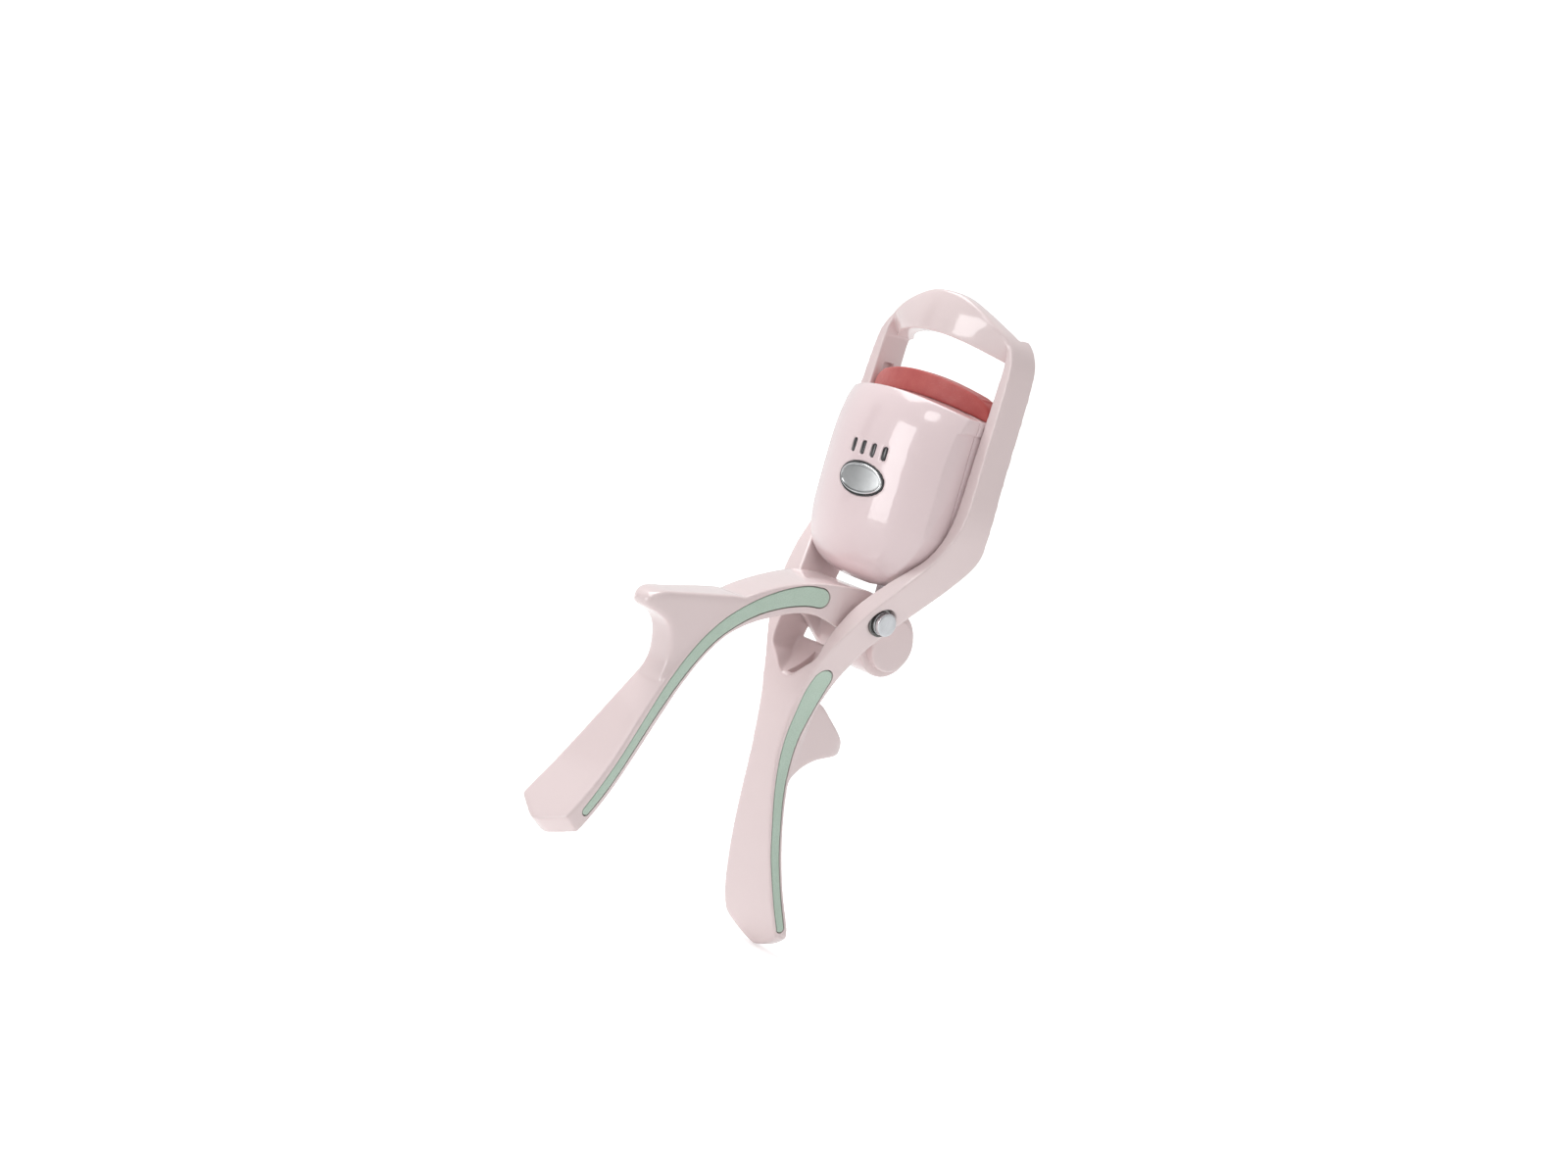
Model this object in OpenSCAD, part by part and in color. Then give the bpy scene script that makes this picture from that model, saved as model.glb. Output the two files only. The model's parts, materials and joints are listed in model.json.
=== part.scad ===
// Heated eyelash curler: sliding heated pad, fixed upper bar, front squeeze lever on a cross pin.
// Millimetres. Origin on the hinge pin axis, X along the pin, -Y the button side, +Z up the arms.

/* [Jaw] */
// Clear width between the two arms
jaw_w = 28; // [26:0.5:32]
// Open height between pad and upper bar
jaw_gap = 6.4; // [5:0.1:8]
// Plan radius of the front of the upper bar
bar_r = 29.5; // [27:0.5:36]
// Plan radius of the front of the pad
pad_r = 27; // [24:0.5:36]
// Thickness of the upper bar and the pad from front to back
lid_t = 3.2; // [2.6:0.1:4.5]
// Radius of the arched edges that meet on the lashes
arch_r = 42; // [34:1:80]
// Height of the top of the pad above the hinge
pad_z = 39.1; // [36:0.1:42]

/* [Handles] */
// Largest half width of the handle ends
tip_w = 6.6; // [5.5:0.1:8]
// Smallest half width of the handles
neck_w = 3.5; // [3:0.1:4.5]
// Depth of the coloured grips in the handle sides
grip_t = 0.8; // [0.5:0.1:1.2]
// Gap shown around each grip
grip_gap = 0.12; // [0.05:0.01:0.2]

/* [Hinge] */
// Radius of the hinge pin
pin_r = 1.4; // [1.2:0.05:1.8]
// Radius of the visible pin heads
head_r = 1.85; // [1.7:0.05:2.3]
// Distance from the middle to the outer face of a pin head
head_x = 12; // [11:0.1:13]
// Running clearance on pins
fit = 0.05; // [0.02:0.01:0.1]
// Half width of the lever between the arms
hub_w = 5.8; // [5.5:0.05:6.2]

/* [Knuckle] */
// Position of the lifting knuckle behind the hinge
knuckle_y = 7.1; // [6:0.1:9]
// Height of the lifting knuckle at rest
knuckle_z = -3.8; // [-5:0.1:-3]
// Radius of the knuckle barrel
knuckle_r = 5.5; // [4.8:0.1:6]
// Radius of the knuckle pin
lift_pin_r = 1.25; // [1:0.05:1.6]
// Thickness of the lifting tail
tail_t = 3; // [2.4:0.1:3.4]

/* [Housing] */
// Half width of the housing
body_w = 13.85; // [12.5:0.05:13.9]
// Depth of the flat panels in the housing sides
panel_t = 0.35; // [0.1:0.05:0.5]
// Plan radius of the bulging front
front_r = 24.3; // [20:0.1:30]
// How far the front stands ahead of the hinge
front_y = 3.1; // [2.5:0.1:4]
// Height of the middle of the housing top
top_z = 35.4; // [34:0.1:36.5]
// Height of the housing bottom
low_z = 4.8; // [4.6:0.1:6]
// Wall thickness of the housing
wall = 1.3; // [1:0.1:1.6]
// Back face of the housing
back_y = 11.8; // [11:0.1:12]
// Plane where front and back covers meet
split_y = 5.6; // [4.5:0.1:7]

/* [Button] */
// Half length of the oval button
button_a = 4.98; // [4:0.01:5.2]
// Half height of the oval button
button_b = 2.43; // [1.8:0.01:2.6]
// Height of the button centre
button_z = 20.4; // [18:0.1:22]
// Width of the dark rim
rim = 0.22; // [0.2:0.01:0.5]
// Number of indicator slots
slots = 4; // [3:1:5]
// Spacing of the indicator slots
slot_step = 2.4; // [2:0.1:3]

/* [Hidden] */
$fn = 72;
e = 0.01;
bar_z = pad_z + jaw_gap;
seat_x = 10;
bar_y = 3.6 + bar_r;
pad_y = 3.3 + pad_r;
pad_x = body_w - 0.05;
front_c = front_r - front_y;
crown_r = 66.7;
tail_y = 8.3;
lead_at = [6.5, 5.75];
slot_z = button_z + button_b + rim + 2.1;
screw_at = [[10.4, 15.5], [10.4, 28.6]];
pink = [0.90, 0.78, 0.77];
pink_inner = [0.86, 0.73, 0.72];
mint = [0.66, 0.83, 0.76];
red = [0.74, 0.28, 0.26];
chrome = [0.75, 0.76, 0.78];
dark = [0.16, 0.15, 0.16];
steel = [0.60, 0.61, 0.63];

// ---- curve helpers ----
// Point on a smooth curve through b and c
function span(a, b, c, d, t) = 0.5 * (2*b + (c - a)*t + (2*a - 5*b + 4*c - d)*t*t
    + (3*b - a - 3*c + d)*t*t*t);
// Smooth line through the points, n steps for each gap
function smooth(p, n) = concat([for (i = [0:len(p)-2], k = [0:n-1])
    span(p[max(i-1, 0)], p[i], p[i+1], p[min(i+2, len(p)-1)], k/n)], [p[len(p)-1]]);
function flip(p) = [for (i = [len(p)-1:-1:0]) p[i]];
// Closed shape from a right-hand line, mirrored to the left
function both(p) = concat(p, [for (q = flip(p)) if (q[0] > 0.001) [-q[0], q[1]]]);
// Band of varying half width around a middle line of [y, z, half width]
function dir(p, i) = let (v = [for (k = [0, 1]) p[min(i+1, len(p)-1)][k] - p[max(i-1, 0)][k]]) v / norm(v);
function band(p, g) = concat(
    [for (i = [0:len(p)-1]) [p[i][0] - dir(p, i)[1]*(p[i][2]+g), p[i][1] + dir(p, i)[0]*(p[i][2]+g)]],
    [for (i = [len(p)-1:-1:0]) [p[i][0] + dir(p, i)[1]*(p[i][2]+g), p[i][1] - dir(p, i)[0]*(p[i][2]+g)]]);
function oval(a, b) = [for (t = [0:7.5:352.5]) [a*cos(t), b*sin(t)]];

// Draw a side view (Y, Z) as a solid across the width
module across(w) rotate([90, 0, 90]) linear_extrude(w, center = true) children();
// Draw a front view (X, Z) as a solid from front to back
module through(d) rotate([90, 0, 0]) linear_extrude(d, center = true) children();
module rod(r, x0, x1, y = 0, z = 0) translate([x0, y, z]) rotate([0, 90, 0]) cylinder(r = r, h = x1 - x0);
// Rod along Y
module peg(r, y0, y1, x = 0, z = 0) translate([x, y0, z]) rotate([-90, 0, 0]) cylinder(r = r, h = y1 - y0);
module block(a, b) translate(a) cube(b - a);

// ---- frame ----
module frame_side() across(60) polygon(concat(
    smooth([[7.2, 54], [6.9, 44], [6.2, 30], [5.7, 20], [4.9, 16], [3.2, 11.5], [0, 7], [-3.1, 2],
        [-4.9, -2], [-6.3, -6], [-7, -12], [-7.2, -19], [-6.8, -26.5], [-5.7, -34], [-3.9, -42],
        [-1.7, -49], [1.2, -55], [2.2, -57]], 3),
    flip(smooth([[12.8, 54], [12.3, 42], [11.8, 30], [11.4, 21], [11.7, 16.5], [12.1, 13.6],
        [11.4, 11.1], [9, 7.5], [6, 3.4], [3.2, -0.7], [0.8, -4.6], [-0.8, -9.2], [-2, -14.5],
        [-2.8, -22], [-3, -30], [-2.1, -37.5], [-0.2, -45], [2.4, -51.6], [4.4, -57]], 3))));

// Half width of the frame from the top of the bar to the handle end; s shrinks the handle sides
function frame_line(s) = smooth([[0, bar_z+6.8], [3.4, bar_z+6.5], [7, bar_z+5.2], [10.8, bar_z+3.3],
    [13, bar_z+1.9], [jaw_w/2+0.7, bar_z+0.1], [jaw_w/2+1.7, bar_z-2.5], [jaw_w/2+2.1, 38.4],
    [jaw_w/2+2.4, 28], [jaw_w/2+2.7, 20.5], [jaw_w/2+2.4, 16.5], [15.3, 12], [13.9, 7.5], [12.2, 3.4],
    [10.4-s, -0.5], [8.6-s, -4.5], [6.9-s, -8.2], [5.4-s, -12], [neck_w+0.7-s, -17], [neck_w-s, -22.5],
    [neck_w-s, -27], [4-s, -32], [4.9-s, -38.5], [5.8-s, -45], [tip_w-0.1-s, -50], [tip_w-s, -52],
    [tip_w-0.4-s, -53.2], [3.2, -55.1], [0, -56.2]], 3);

module window() intersection() {
    through(80) polygon(both(concat([[10.4, 60]], smooth([[10.4, bar_z+4.4], [12, bar_z+3],
        [13.3, bar_z+0.8], [jaw_w/2, bar_z-2.2]], 3), smooth([[jaw_w/2, 15.5], [13.6, 13.3], [12.8, 11],
        [11.2, 8.2], [9.2, 4.9], [7.4, 1.3], [6.3, -2.3], [5.9, -5], [5.6, -7.2], [5, -8.5],
        [3.5, -9.7], [2, -11.3], [0, -12.5]], 3))));
    across(60) polygon(concat([[-20, 60], [30, 60], [30, -6.6]], smooth([[-1, -6.6], [-1.5, -7.7],
        [-2.8, -9.2], [-4.6, -10.6], [-6.4, -11.7], [-7.6, -12.8]], 3), [[-20, -12.8]]));
}

// Ring sector in plan, used for the bar and the pad
module lid(cy, ro, ri, z0, z1) intersection() {
    translate([0, cy, z0]) difference() {
        cylinder(r = ro, h = z1 - z0);
        translate([0, 0, -1]) cylinder(r = ri, h = z1 - z0 + 2);
    }
    block([-20, -10, z0], [20, 16, z1]);
}

module upper_bar() difference() {
    intersection() {
        lid(bar_y, bar_r, bar_r - lid_t, bar_z - 5, bar_z + 8);
        through(80) polygon(both(frame_line(0)));
        block([-20, -10, 30], [20, 12.2, 60]);
    }
    peg(arch_r, -20, 40, 0, bar_z - arch_r);
}

// Finger rest on a handle: side view outline, then plan outline
module rest(side, plan) intersection() {
    across(8) polygon(side);
    linear_extrude(120, center = true) polygon(plan);
}

module rear_rest() rest(
    concat([[-5, -14.5]], smooth([[-2.6, -14.5], [0.3, -15.9], [2.6, -17.7], [4.8, -19.4], [6.4, -20.7],
        [7.3, -21.7], [7.5, -22.6], [6.9, -23.4], [5.6, -23.8], [3.4, -24.2], [1.1, -24.9],
        [-1.2, -26.4], [-3.2, -29]], 3), [[-5, -29]]),
    both(smooth([[3.2, -6], [3.2, 0], [3, 3.6], [2.5, 6], [1.6, 7.3], [0, 7.7]], 3)));

// Middle lines of the coloured grips: [y, z, half width]
rear_mid = [[-4.2, -11.2, 1.75], [-4.5, -13.5, 1.8], [-4.75, -17, 1.55], [-5.1, -21, 1.3],
    [-5.05, -25.5, 1.1], [-4.75, -30.3, 0.9], [-4.1, -35, 0.8], [-3.2, -40, 0.75], [-1.9, -44.5, 0.7],
    [-0.6, -48.3, 0.7], [0.7, -51.4, 0.65]];
front_mid = [[-42.8, -35.8, 0.65], [-40.1, -31.8, 0.8], [-37.2, -27, 0.85], [-34.3, -21.6, 0.85],
    [-31.4, -15.8, 0.85], [-29, -11.5, 0.88], [-26.4, -7.8, 0.95], [-23.2, -4.7, 1.05],
    [-19, -1.9, 1.15], [-14.6, 0.1, 1.35], [-10.8, 1.2, 1.5], [-8.6, 1.35, 1.5]];

module frame_shell(s) intersection() {
    frame_side();
    through(80) polygon(both(frame_line(s)));
}
module rear_band(g) {
    across(60) polygon(band(smooth(rear_mid, 4), g));
    rod(rear_mid[0][2] + g, -30, 30, rear_mid[0][0], rear_mid[0][1]);
    rod(0.65 + g, -30, 30, 0.7, -51.4);
}
// Grip in one side of the handle, widened by g all round and standing skin proud
module rear_grip(s, g, skin) intersection() {
    difference() {
        frame_shell(-skin);
        frame_shell(grip_t);
    }
    rear_band(g);
    block([s > 0 ? 1 : -30, -20, -60], [s > 0 ? 30 : -1, 20, -5]);
}

module frame() color(pink) difference() {
    union() {
        difference() {
            frame_shell(0);
            window();
        }
        upper_bar();
        rear_rest();
    }
    rod(4.6, -hub_w - 0.25, hub_w + 0.25);
    rod(pin_r + fit, -20, 20);
    for (s = [-1, 1]) {
        rod(head_r + 0.55, s > 0 ? seat_x : -20, s > 0 ? 20 : -seat_x);
        block([s > 0 ? 13 : -14.9, 8.4, 15], [s > 0 ? 14.9 : -13, 10.4, 38.6]);
        rear_grip(s, grip_gap, e);
    }
    across(1.2) polygon([[-6.2, -11.4], [-1.6, -7.9], [-1.6, -10], [-5, -12.6]]);
}

module grip_rear_right() color(mint) rear_grip(1, 0, 0);
module grip_rear_left() color(mint) rear_grip(-1, 0, 0);

// ---- front lever ----
module lever_side() {
    across(60) polygon(concat(
        smooth([[2, 3.3], [0, 3.9], [-4.4, 3.95], [-8.8, 3.6], [-13, 2.7], [-17.5, 1.2], [-22, -0.9],
            [-25.4, -3.7], [-28, -7.5], [-30.8, -11.7], [-33.2, -15.4], [-36, -20.3], [-39, -25.8],
            [-42, -30.9], [-44.6, -34.6], [-48, -39.2], [-50.4, -42.4]], 3),
        flip(smooth([[0, -3.9], [-2.6, -3.1], [-5.5, -2.2], [-8.5, -1.5], [-12, -1.9], [-16, -3.2],
            [-20, -4.9], [-23.8, -7.6], [-27, -11.6], [-29.6, -16], [-32, -21.3], [-35, -27.2],
            [-38.5, -32.8], [-41.9, -37.4], [-45.3, -41.5], [-48, -44.6]], 3))));
    rod(3.9, -30, 30);
}
// Half width of the lever along Y; s shrinks the sides
function lever_line(s) = concat([[hub_w-s, 14]], smooth([[hub_w-s, -3.5], [5.7-s, -5.8], [5-s, -8.6],
    [4.3-s, -11.6], [3.8-s, -15.5], [neck_w-s, -20], [neck_w-0.1-s, -26], [neck_w-0.1-s, -31.2],
    [neck_w+0.1-s, -33.5], [4.2-s, -36], [4.9-s, -38.4], [5.5-s, -41], [5.85-s, -43.5],
    [tip_w-0.65-s, -46.4], [tip_w-0.65-s, -54]], 3));
module lever_shell(s) intersection() {
    lever_side();
    linear_extrude(120, center = true) polygon(both(lever_line(s)));
    translate([0, -46.4, -36.8]) rotate([-126.87, 0, 0]) linear_extrude(80, center = true)
        polygon(both(concat([[40, -80], [40, -17]], [[1.6, 2.2], [0.9, 2.5], [0, 2.6]])));
}
module front_rest() rest(
    smooth([[-20, -2], [-22.3, -0.8], [-25.5, -0.95], [-30, -1.4], [-35, -2], [-37.4, -2.8],
        [-38.6, -4.2], [-38, -5.3], [-36, -5.9], [-34.4, -6.9], [-33.4, -8.7], [-32.9, -10.8],
        [-32.8, -12.8], [-33.4, -15.5], [-31, -14], [-27, -7.6], [-23, -3.6]], 3),
    both(smooth([[0, -38.7], [1.5, -38.4], [2.3, -37.2], [2.6, -35], [2.9, -31], [3.3, -27], [3.4, -22],
        [3.4, -19]], 3)));
module front_band(g) {
    across(60) polygon(band(smooth(front_mid, 4), g));
    rod(0.65 + g, -30, 30, -42.8, -35.8);
    rod(1.5 + g, -30, 30, -8.6, 1.35);
}
module front_grip(s, g, skin) intersection() {
    difference() {
        lever_shell(-skin);
        lever_shell(grip_t);
    }
    front_band(g);
    block([s > 0 ? 1 : -30, -60, -60], [s > 0 ? 30 : -1, -6, 20]);
}

module front_lever() color(pink) difference() {
    union() {
        lever_shell(0);
        front_rest();
        rod(knuckle_r, -hub_w, hub_w, knuckle_y, knuckle_z);
        across(2*hub_w) polygon([[0.9, 3.79], [knuckle_y+1.4, knuckle_z+5.31],
            [knuckle_y-2.1, knuckle_z-5.08], [-1.5, -3.6]]);
    }
    rod(pin_r + fit, -20, 20);
    // hollow underside between the two cheeks
    difference() {
        intersection() {
            across(2*hub_w) polygon([[-11.5, -6], [-11.5, 0.6], [-8.5, 2], [-4, 2.4], [1.2, 2.2], [4, 0.9],
                [4, -12], [-4, -9]]);
            linear_extrude(60, center = true) polygon([[hub_w-1.25, 14], [hub_w-1.25, -3.5], [3.9, -8],
                [2.6, -11], [-2.6, -11], [-3.9, -8], [1.25-hub_w, -3.5], [1.25-hub_w, 14]]);
        }
        rod(knuckle_r, -20, 20, knuckle_y, knuckle_z);
    }
    // slot for the lifting tail
    rod(4.3, -tail_t/2 - 0.25, tail_t/2 + 0.25, knuckle_y, knuckle_z);
    block([-tail_t/2 - 0.25, knuckle_y - 3.2, knuckle_z], [tail_t/2 + 0.25, 16, 8]);
    rod(lift_pin_r, -hub_w + 1, hub_w - 1, knuckle_y, knuckle_z);
    for (s = [-1, 1]) {
        rod(3.4, s > 0 ? hub_w - 1 : -8, s > 0 ? 8 : -hub_w + 1, knuckle_y, knuckle_z);
        front_grip(s, grip_gap, e);
    }
}
module grip_front_right() color(mint) front_grip(1, 0, 0);
module grip_front_left() color(mint) front_grip(-1, 0, 0);

// ---- hinge and knuckle ----
module hinge_pin() color(chrome) difference() {
    union() {
        rod(pin_r, -seat_x + 0.2, seat_x);
        rod(head_r, seat_x, head_x - 0.25);
        translate([head_x - 0.25, 0, 0]) rotate([0, 90, 0])
            cylinder(r1 = head_r, r2 = head_r - 0.25, h = 0.25);
    }
    rod(0.8, -seat_x, 0);
}
module hinge_screw() color(chrome) difference() {
    union() {
        rod(0.8, -seat_x, -0.5);
        rod(head_r, -head_x + 0.25, -seat_x);
        translate([-head_x + 0.25, 0, 0]) rotate([0, -90, 0])
            cylinder(r1 = head_r, r2 = head_r - 0.25, h = 0.25);
    }
    block([-head_x - 1, -2.5, -0.25], [-head_x + 0.7, 2.5, 0.25]);
}
module knuckle_pin() color(steel) rod(lift_pin_r, -hub_w + 1, hub_w - 1, knuckle_y, knuckle_z);
module cap(s) color(pink) mirror([s > 0 ? 0 : 1, 0, 0]) {
    rod(3.4, hub_w - 1, hub_w, knuckle_y, knuckle_z);
    rod(4.3, hub_w, hub_w + 1.1, knuckle_y, knuckle_z);
    translate([hub_w + 1.1, knuckle_y, knuckle_z]) rotate([0, 90, 0]) cylinder(r1 = 4.3, r2 = 3.9, h = 0.4);
}
module knuckle_cap_right() cap(1);
module knuckle_cap_left() cap(-1);

// Tail fixed in the housing; its slot rides on the knuckle pin
module lift_tail() color(steel) difference() {
    union() {
        rod(3.3, -tail_t/2, tail_t/2, knuckle_y + 0.35, knuckle_z);
        block([-tail_t/2, tail_y, knuckle_z], [tail_t/2, tail_y + 2.2, 9.5]);
        block([-5.5, tail_y, 7.5], [5.5, tail_y + 2.2, 9.5]);
    }
    for (y = [-0.15, 1.1]) rod(lift_pin_r + 0.09, -5, 5, knuckle_y + y, knuckle_z);
    block([-5, knuckle_y - 0.15, knuckle_z - lift_pin_r - 0.09],
        [5, knuckle_y + 1.1, knuckle_z + lift_pin_r + 0.09]);
}

// ---- housing ----
// Body of the housing, every face moved in by t
module housing_form(t) intersection() {
    translate([0, front_c, 0]) rotate_extrude($fn = 180) polygon(concat([[0, low_z+t], [front_c-6, low_z+t]],
        smooth([[front_r-5.2-t, low_z+t], [front_r-2.6-t, low_z+1.3+t], [front_r-0.9-t, low_z+3.7+t],
            [front_r-0.2-t, low_z+7.5+t], [front_r-t, 18], [front_r-0.1-t, 26-t], [front_r-0.6-t, 30.5-t],
            [front_r-1.5-t, 33.6-t], [front_r-2.6-t, top_z+0.2-t]], 4),
        [[front_r-3.4-t, top_z+2], [0, top_z+2]]));
    through(80) polygon(both(concat([[body_w-t, 50]], smooth([[body_w-t, 16], [13.2-t, 13.4], [12.5-t, 11.3],
        [11.4-t, 9.4+t*0.3], [10-t, 7.8+t*0.5], [8.2-t, 6.4+t*0.8], [5.6-t, 5.3+t], [3-t, low_z+t]], 3),
        [[0, low_z+t]])));
    peg(crown_r - t, -20, 40, 0, top_z - crown_r);
    block([-20, -10, 0], [20, back_y - t, 50]);
}
// Flat panels in the sides, arched at their front top corner
module side_panels() for (s = [-1, 1]) translate([s*(body_w - panel_t + 5), 0, 0]) across(10)
    polygon(concat([[20, -5], [-2, -5]], [for (a = [0:15:90]) [4 - 6*cos(a), 25.6 + 6*sin(a)]], [[20, 31.6]]));
module oval_hole(g, y0, y1) translate([0, (y0+y1)/2, button_z]) through(y1 - y0)
    polygon(oval(button_a + g, button_b + g));
module slot_bars(g, y0, y1) for (i = [0:slots-1]) block(
    [(i-(slots-1)/2)*slot_step - 0.45 - g, y0, slot_z - 1.1 - g],
    [(i-(slots-1)/2)*slot_step + 0.45 + g, y1, slot_z + 1.1 + g]);
module pad_root(g) intersection() {
    lid(pad_y, pad_r - 0.7 + g, pad_r - lid_t + 0.7 - g, 32.4 - g, top_z + 2);
    block([-12.1 - g, -10, 0], [12.1 + g, 20, 60]);
}

module housing_front() color(pink) difference() {
    union() {
        difference() {
            housing_form(0);
            housing_form(wall);
        }
        intersection() {
            housing_form(wall/2);
            for (s = [-1, 1], p = screw_at) peg(1.6, -4, split_y, s*p[0], p[1]);
        }
    }
    block([-30, split_y, -5], [30, 30, 60]);
    side_panels();
    oval_hole(rim, -8, 4);
    slot_bars(0, -8, 1.5);
    pad_root(0.05);
    for (s = [-1, 1], p = screw_at) peg(0.7, split_y - 3.6, split_y + 1, s*p[0], p[1]);
}

module housing_back() color(pink_inner) difference() {
    union() {
        intersection() {
            difference() {
                housing_form(0);
                housing_form(wall);
                side_panels();
            }
            block([-30, split_y, -5], [30, 30, 60]);
        }
        intersection() {
            housing_form(wall/2);
            union() {
                for (s = [-1, 1], p = screw_at) peg(1.8, split_y, back_y, s*p[0], p[1]);
                // seat that grips the lifting tail
                block([-7, split_y, 6], [7, back_y, 11]);
            }
        }
        for (s = [-1, 1]) block([s > 0 ? 13 : -14.8, 8.5, 16.2], [s > 0 ? 14.8 : -13, 10.3, 32.2]);
    }
    for (s = [-1, 1], p = screw_at) {
        peg(0.85, split_y - 1, 20, s*p[0], p[1]);
        peg(1.6, back_y - 1.5, 20, s*p[0], p[1]);
    }
    block([-5.5, tail_y, 7.5], [5.5, tail_y + 2.2, 9.5]);
    block([-tail_t/2, tail_y, 0], [tail_t/2, tail_y + 2.2, 9]);
    pad_root(0.05);
    translate([0, 10, 14.2]) through(10) pill(4.6, 1.75);
}
// Rounded slot in front view
module pill(a, b) {
    square([2*(a-b), 2*b], center = true);
    for (s = [-1, 1]) translate([s*(a-b), 0]) circle(b);
}
module housing_screws() color(steel) for (s = [-1, 1], p = screw_at) difference() {
    union() {
        peg(0.7, split_y - 3.2, back_y - 1.5, s*p[0], p[1]);
        peg(1.5, back_y - 1.5, back_y - 0.5, s*p[0], p[1]);
    }
    translate([s*p[0], back_y - 0.5, p[1]]) cube([2.2, 0.9, 0.45], center = true);
    translate([s*p[0], back_y - 0.5, p[1]]) cube([0.45, 0.9, 2.2], center = true);
}

// ---- button and indicators ----
module power_button() color(chrome) {
    intersection() {
        oval_hole(-fit, -8, 0.1);
        translate([0, front_c, 0]) cylinder(r = front_r + 0.35, h = 50);
    }
    // flange that keeps the button behind its rim
    oval_hole(0.35, -0.7, 0.1);
    peg(1.2, 0, 1.0, 0, button_z);
}
module button_rim() color(dark) intersection() {
    difference() {
        oval_hole(rim, -8, 0);
        oval_hole(0, -9, 1);
    }
    translate([0, front_c, 0]) difference() {
        cylinder(r = front_r + 0.1, h = 50);
        translate([0, 0, -1]) cylinder(r = front_r - wall - 0.4, h = 60);
    }
}
module indicator_lenses() color(dark) intersection() {
    slot_bars(0, -8, 0.9);
    translate([0, front_c, 0]) cylinder(r = front_r, h = 50);
}
module indicator_leds() color([0.95, 0.93, 0.80]) for (i = [0:slots-1])
    translate([(i-(slots-1)/2)*slot_step, 1.6, slot_z]) cube([1, 0.8, 1.6], center = true);
module tact_switch() color(steel) {
    block([-2.25, 1.4, button_z - 2], [2.25, 2, button_z + 2]);
    peg(0.9, 1.35, 1.45, 0, button_z);
}
module circuit_board() color([0.15, 0.42, 0.30]) difference() {
    block([-8.4, 2, 10.6], [8.4, 2.8, 30.6]);
    for (s = [-1, 1]) peg(0.6, 1, 4, s*7.2, 29.2);
}
module usb_socket() color(chrome) difference() {
    translate([0, (2.8 + back_y - 0.4)/2, 14.2]) through(back_y - 3.2) pill(4.45, 1.6);
    translate([0, (5 + back_y)/2, 14.2]) through(back_y - 5) pill(4.15, 1.3);
}
module battery() color([0.35, 0.45, 0.62]) {
    block([-8.2, 3.6, 17.4], [8.2, 8.9, 29]);
    block([-5, 4.6, 29], [5, 7.9, 30.2]);
}
module battery_leads() color([0.75, 0.12, 0.10]) for (s = [-1, 1]) peg(0.35, 2.8, 4.6, s*3, 29.6);

// ---- heated pad ----
module heat_pad() color(red) difference() {
    union() {
        difference() {
            intersection() {
                lid(pad_y, pad_r, pad_r - lid_t, 30, pad_z + 1);
                peg(arch_r, -20, 40, 0, pad_z - arch_r);
                through(80) polygon(both(concat([[pad_x, 30]], smooth([[pad_x, 34.4], [pad_x-0.4, 35.8],
                    [pad_x-1.3, 36.8], [pad_x-2.7, 37.5]], 3), [[0, 50]])));
            }
            peg(crown_r, -20, 40, 0, top_z - crown_r);
        }
        pad_root(0);
    }
    heater_form(32);
}
// Curved heater from height z0 up into the pad
module heater_form(z0) intersection() {
    lid(pad_y, pad_r - 1.2, pad_r - lid_t + 1.2, z0, 36);
    block([-11, -10, 0], [11, 20, 60]);
}
module heater_plate() color([0.85, 0.83, 0.78]) heater_form(32.4);
module pad_carrier() color([0.30, 0.29, 0.30]) difference() {
    intersection() {
        housing_form(wall + 0.05);
        lid(pad_y, pad_r + 0.6, pad_r - lid_t - 0.6, 31.2, 32.35);
    }
    for (x = [-lead_at[0], 0, lead_at[0]])
        translate([x, x == 0 ? 5.2 : lead_at[1], 30]) cylinder(r = 0.6, h = 4);
}
module thermistor() color([0.20, 0.20, 0.22]) translate([0, 5.2, 31.8]) sphere(r = 0.5, $fn = 32);
module heater_leads() color([0.85, 0.85, 0.80]) for (s = [-1, 1]) {
    translate([s*lead_at[0], lead_at[1], 29.6]) cylinder(r = 0.35, h = 2.8);
    peg(0.35, 2.8, lead_at[1], s*lead_at[0], 29.9);
}

frame();
front_lever();
hinge_pin();
hinge_screw();
knuckle_pin();
knuckle_cap_right();
knuckle_cap_left();
lift_tail();
housing_front();
housing_back();
power_button();
button_rim();
indicator_lenses();
indicator_leds();
tact_switch();
circuit_board();
battery();
battery_leads();
usb_socket();
heat_pad();
heater_plate();
pad_carrier();
thermistor();
heater_leads();
housing_screws();
grip_front_right();
grip_front_left();
grip_rear_right();
grip_rear_left();
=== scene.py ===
"""Heated eyelash curler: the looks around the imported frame.

Everything is in metres in the frame's own axes: X along the hinge pin, -Y the button side, +Z up the arms.
Shapes are built in millimetres and scaled down when they are linked, so names ending in _mm are millimetres.
"""

import json
import math

import bmesh
import bpy
from mathutils import Matrix, Vector


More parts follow.
